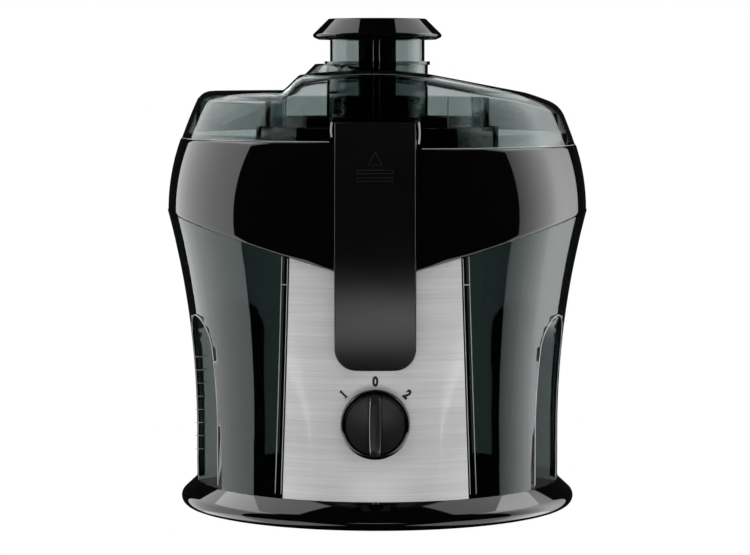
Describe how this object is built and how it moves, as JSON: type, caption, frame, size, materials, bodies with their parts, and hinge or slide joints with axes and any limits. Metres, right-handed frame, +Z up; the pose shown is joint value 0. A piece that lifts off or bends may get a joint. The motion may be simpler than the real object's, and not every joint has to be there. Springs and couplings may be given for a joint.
{
  "type": "centrifugal juicer",
  "caption": "Compact centrifugal juicer: motor column between two slide-out containers, spherical bowl, smoked lid with feed chute and pusher, front locking arm and speed knob.",
  "frame": {"origin": "on the drive axis, at the surface that the feet stand on, which is the middle of the box's bottom", "axes": "+Z up along the drive axis, front with the locking arm and the knob towards -Y, juice jug towards -X"},
  "size_m": [0.2576, 0.2634, 0.3],
  "materials": {
    "black_gloss": "gloss",
    "black_matte": "fine texture",
    "arm_satin": "satin",
    "smoked_clear": "smoked transparent",
    "brushed_steel": "horizontally brushed",
    "bright_steel": "polished",
    "laminated_steel": "varnished",
    "cast_aluminium": "cast",
    "copper_winding": "enamelled wire",
    "brass": "stamped",
    "rubber": "matt",
    "white_plastic": "moulded",
    "carbon": "pressed carbon",
    "yellow_film": "film case"
  },
  "bodies": {
    "housing": {"base_ring": "black_gloss", "base_plate": "black_matte", "feet": "rubber", "base_screws": "bright_steel", "motor_housing": "black_matte", "front_panel": "brushed_steel", "rear_panel": "black_matte", "arm_hinge_pin": "bright_steel", "stator": "laminated_steel", "field_coils": "copper_winding", "stator_bolts": "bright_steel", "upper_bracket": "cast_aluminium", "lower_bracket": "cast_aluminium", "upper_bearing": "bright_steel", "lower_bearing": "bright_steel", "brush_holders": "brass", "carbon_brushes": "carbon", "motor_mounts": "rubber", "motor_screws": "bright_steel", "rotary_switch": "white_plastic", "interlock_switch": "black_matte", "capacitor": "yellow_film", "shaft_seal": "rubber", "cord_gland": "black_matte"},
    "rotor": {"motor_shaft": "bright_steel", "armature": "laminated_steel", "commutator": "copper_winding", "cooling_fan": "white_plastic", "drive_coupling": "black_matte"},
    "bowl": {"juice_bowl": "black_gloss", "bowl_channel": "black_gloss", "bowl_floor": "black_gloss", "juice_wall": "black_gloss"},
    "basket": {"basket_hub": "black_matte", "grater_disc": "bright_steel", "filter_mesh": "bright_steel", "basket_rim": "black_gloss"},
    "lid": {"lid": "smoked_clear", "lid_channel": "smoked_clear", "feed_chute": "smoked_clear"},
    "pusher": {"pusher_tube": "smoked_clear", "pusher_cap": "black_gloss"},
    "arm": {"locking_arm": "arm_satin"},
    "knob": {"speed_knob": "black_gloss", "switch_shaft": "bright_steel"},
    "juice_jug": {"juice_jug": "smoked_clear"},
    "pulp_container": {"pulp_container": "smoked_clear"}
  },
  "joints": [
    {"name": "rotor_spin", "type": "hinge", "parent": "housing", "child": "rotor", "pos_m": [0, 0, 0.1], "axis": [0, 0, 1], "continuous": true},
    {"name": "bowl_lift", "type": "slide", "parent": "housing", "child": "bowl", "axis": [0, 0, 1], "range_m": [0, 0.1]},
    {"name": "basket_spin", "type": "hinge", "parent": "bowl", "child": "basket", "pos_m": [0, 0, 0.2], "axis": [0, 0, 1], "continuous": true},
    {"name": "lid_lift", "type": "slide", "parent": "bowl", "child": "lid", "axis": [0, 0, 1], "range_m": [0, 0.08]},
    {"name": "pusher_lift", "type": "slide", "parent": "lid", "child": "pusher", "axis": [0, 0, 1], "range_m": [0, 0.08]},
    {"name": "arm_swing", "type": "hinge", "parent": "housing", "child": "arm", "pos_m": [0, -0.11363, 0.1015], "axis": [1, 0, 0], "range_deg": [0, 30]},
    {"name": "knob_turn", "type": "hinge", "parent": "housing", "child": "knob", "pos_m": [0, -0.112, 0.064], "axis": [0, 1, 0], "range_deg": [-45, 45]},
    {"name": "juice_jug_slide", "type": "slide", "parent": "housing", "child": "juice_jug", "axis": [-1, 0, 0], "range_m": [0, 0.12]},
    {"name": "pulp_container_slide", "type": "slide", "parent": "housing", "child": "pulp_container", "axis": [1, 0, 0], "range_m": [0, 0.12]}
  ],
  "couplings": [
    {"joint": "basket_spin", "follows": "rotor_spin", "ratio": 1}
  ]
}
